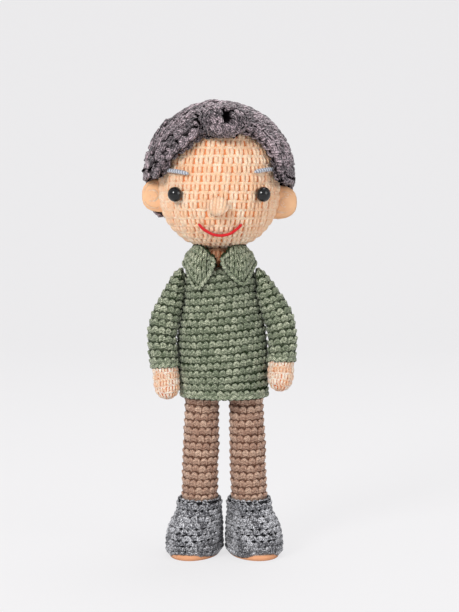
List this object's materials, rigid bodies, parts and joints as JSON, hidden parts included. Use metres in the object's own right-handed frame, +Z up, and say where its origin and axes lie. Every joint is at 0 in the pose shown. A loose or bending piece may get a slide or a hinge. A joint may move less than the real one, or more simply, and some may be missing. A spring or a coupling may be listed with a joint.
{
  "type": "crochet doll",
  "caption": "Standing crochet doll with a large head, wig, collared sweater, trousers and slippers; head, arms and legs move.",
  "frame": {"origin": "on the floor, under the middle of the doll's bounding box", "axes": "+Z up along the doll's height; the face looks along -Y; the doll's own left is +X"},
  "size_m": [0.0652, 0.063, 0.1906],
  "materials": {
    "skin_yarn": "matte crocheted cotton",
    "sole_yarn": "matte crocheted cotton",
    "hair_yarn": "matte crocheted cotton",
    "brow_yarn": "matte embroidery cotton",
    "mouth_thread": "satin embroidery thread",
    "sweater_yarn": "matte crocheted cotton",
    "trouser_yarn": "matte crocheted cotton",
    "slipper_yarn": "matte crocheted cotton",
    "body_yarn": "matte crocheted cotton",
    "stuffing": "loose polyester fibre",
    "neck_felt": "rolled felt",
    "eye_bead": "polished black",
    "washer_plastic": "moulded, translucent white",
    "insole_board": "thin sheet",
    "wire_steel": "drawn wire"
  },
  "bodies": {
    "torso": {"sweater": "sweater_yarn", "collar": "sweater_yarn", "torso_cover": "body_yarn", "seat_cover": "trouser_yarn", "torso_stuffing": "stuffing"},
    "neck": {"neck_cover": "skin_yarn", "neck_rod": "neck_felt"},
    "head": {"head_cover": "skin_yarn", "head_stuffing": "stuffing", "hair_cap": "hair_yarn", "forelock": "hair_yarn", "ear_right": "skin_yarn", "ear_left": "skin_yarn", "eye_right": "eye_bead", "eye_left": "eye_bead", "eye_washer_right": "washer_plastic", "eye_washer_left": "washer_plastic", "nose": "skin_yarn", "brow_right": "brow_yarn", "brow_left": "brow_yarn", "mouth": "mouth_thread"},
    "shoulder_right": {"shoulder_thread_right": "sweater_yarn"},
    "arm_right": {"sleeve_right": "sweater_yarn", "hand_right": "skin_yarn", "arm_stuffing_right": "stuffing"},
    "shoulder_left": {"shoulder_thread_left": "sweater_yarn"},
    "arm_left": {"sleeve_left": "sweater_yarn", "hand_left": "skin_yarn", "arm_stuffing_left": "stuffing"},
    "leg_right": {"trouser_leg_right": "trouser_yarn", "leg_stuffing_right": "stuffing", "leg_wire_right": "wire_steel", "slipper_right": "slipper_yarn", "slipper_sole_right": "sole_yarn", "insole_right": "insole_board", "foot_stuffing_right": "stuffing"},
    "leg_left": {"trouser_leg_left": "trouser_yarn", "leg_stuffing_left": "stuffing", "leg_wire_left": "wire_steel", "slipper_left": "slipper_yarn", "slipper_sole_left": "sole_yarn", "insole_left": "insole_board", "foot_stuffing_left": "stuffing"}
  },
  "joints": [
    {"name": "head_nod", "type": "hinge", "parent": "torso", "child": "neck", "pos_m": [0, 0, 0.11995], "axis": [1, 0, 0], "range_deg": [-5, 5]},
    {"name": "head_turn", "type": "hinge", "parent": "neck", "child": "head", "pos_m": [0, 0, 0.1285], "axis": [0, 0, 1], "range_deg": [-40, 40]},
    {"name": "arm_swing_right", "type": "hinge", "parent": "torso", "child": "shoulder_right", "pos_m": [-0.01506, -0.002, 0.1174], "axis": [-1, 0, 0], "range_deg": [0, 90]},
    {"name": "arm_lift_right", "type": "hinge", "parent": "shoulder_right", "child": "arm_right", "pos_m": [-0.01506, -0.002, 0.1174], "axis": [0, 1, 0], "range_deg": [0, 30]},
    {"name": "arm_swing_left", "type": "hinge", "parent": "torso", "child": "shoulder_left", "pos_m": [0.01534, -0.002, 0.1174], "axis": [-1, 0, 0], "range_deg": [0, 90]},
    {"name": "arm_lift_left", "type": "hinge", "parent": "shoulder_left", "child": "arm_left", "pos_m": [0.01534, -0.002, 0.1174], "axis": [0, -1, 0], "range_deg": [0, 30]},
    {"name": "hip_swing_right", "type": "hinge", "parent": "torso", "child": "leg_right", "pos_m": [-0.0072, 0, 0.068], "axis": [-1, 0, 0], "range_deg": [-20, 40]},
    {"name": "hip_swing_left", "type": "hinge", "parent": "torso", "child": "leg_left", "pos_m": [0.0112, 0, 0.068], "axis": [-1, 0, 0], "range_deg": [-20, 40]}
  ]
}
